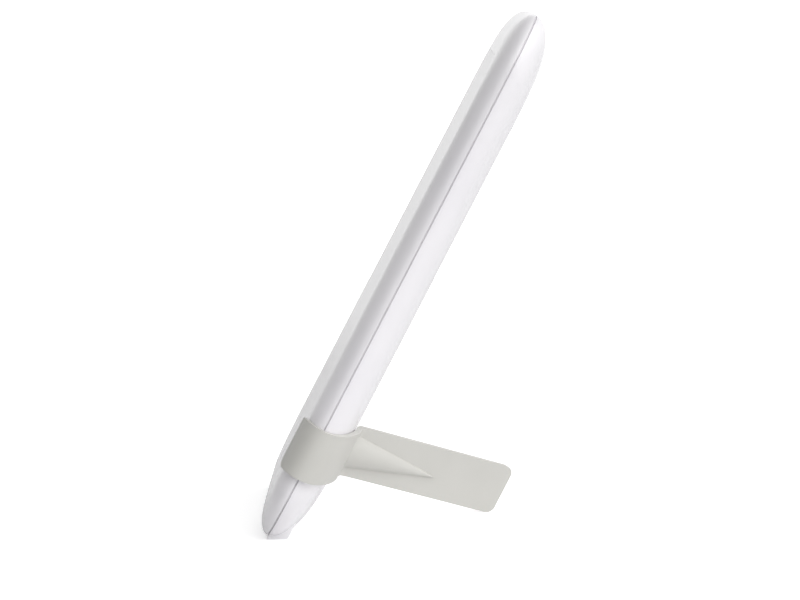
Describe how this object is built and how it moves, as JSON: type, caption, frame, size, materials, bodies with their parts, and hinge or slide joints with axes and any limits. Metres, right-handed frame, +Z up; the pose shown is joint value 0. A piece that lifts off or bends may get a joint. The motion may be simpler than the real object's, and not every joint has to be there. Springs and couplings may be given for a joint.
{
  "type": "light therapy lamp",
  "caption": "Slim tablet-shaped light panel with rounded edges that leans back on a clip-on stand gripping one long edge.",
  "frame": {"origin": "on the table, under the middle of the lamp's bounding box", "axes": "+Z up, -X the side the light shines to, +X behind the lamp, -Y the edge that the stand grips"},
  "size_m": [0.1162, 0.158, 0.2119],
  "materials": {
    "white_gloss_shell": "moulded white ABS, glossy",
    "opal_diffuser": "opal acrylic, satin",
    "clear_sheet": "clear acrylic light guide",
    "white_film": "white polyester film",
    "led_strip_board": "white coated strip board",
    "led_chip": "phosphor-filled package",
    "plate_aluminium": "pressed sheet",
    "board_green": "glass-epoxy board with solder mask",
    "screw_steel": "zinc-plated steel",
    "standoff_brass": "turned brass",
    "black_component": "moulded black component body",
    "coil_ferrite": "sintered ferrite",
    "connector_nylon": "natural nylon",
    "lead_sleeve": "insulated lead",
    "pin_nickel": "nickel-plated pin",
    "foot_rubber": "white soft elastomer",
    "warm_grey_plastic": "warm grey moulded plastic, satin"
  },
  "bodies": {
    "lamp": {"front_bezel": "white_gloss_shell", "rear_cover": "white_gloss_shell", "rest_feet": "foot_rubber", "diffuser_panel": "opal_diffuser", "diffusing_film": "white_film", "light_guide": "clear_sheet", "reflector_sheet": "white_film", "led_board_near": "led_strip_board", "led_board_far": "led_strip_board", "led_chips_near": "led_chip", "led_chips_far": "led_chip", "back_plate": "plate_aluminium", "plate_screws": "screw_steel", "cover_standoffs": "standoff_brass", "cover_screws": "screw_steel", "board_screws": "screw_steel", "driver_board": "board_green", "driver_coil": "coil_ferrite", "driver_capacitors": "black_component", "driver_chip": "black_component", "lead_connectors": "connector_nylon", "lead_near": "lead_sleeve", "lead_far": "lead_sleeve", "dc_socket": "black_component", "dc_socket_pin": "pin_nickel", "push_switch": "black_component"},
    "stand": {"stand_clip": "warm_grey_plastic"},
    "button": {"power_button": "white_gloss_shell", "switch_plunger": "connector_nylon"}
  },
  "joints": [
    {"name": "stand_pull_off", "type": "slide", "parent": "lamp", "child": "stand", "axis": [0, -1, 0], "range_m": [0, 0.06]},
    {"name": "button_press", "type": "slide", "parent": "lamp", "child": "button", "axis": [-0.8873, 0, 0.4611], "range_m": [0, 0.0008], "stiffness_N_per_m": 1500}
  ]
}
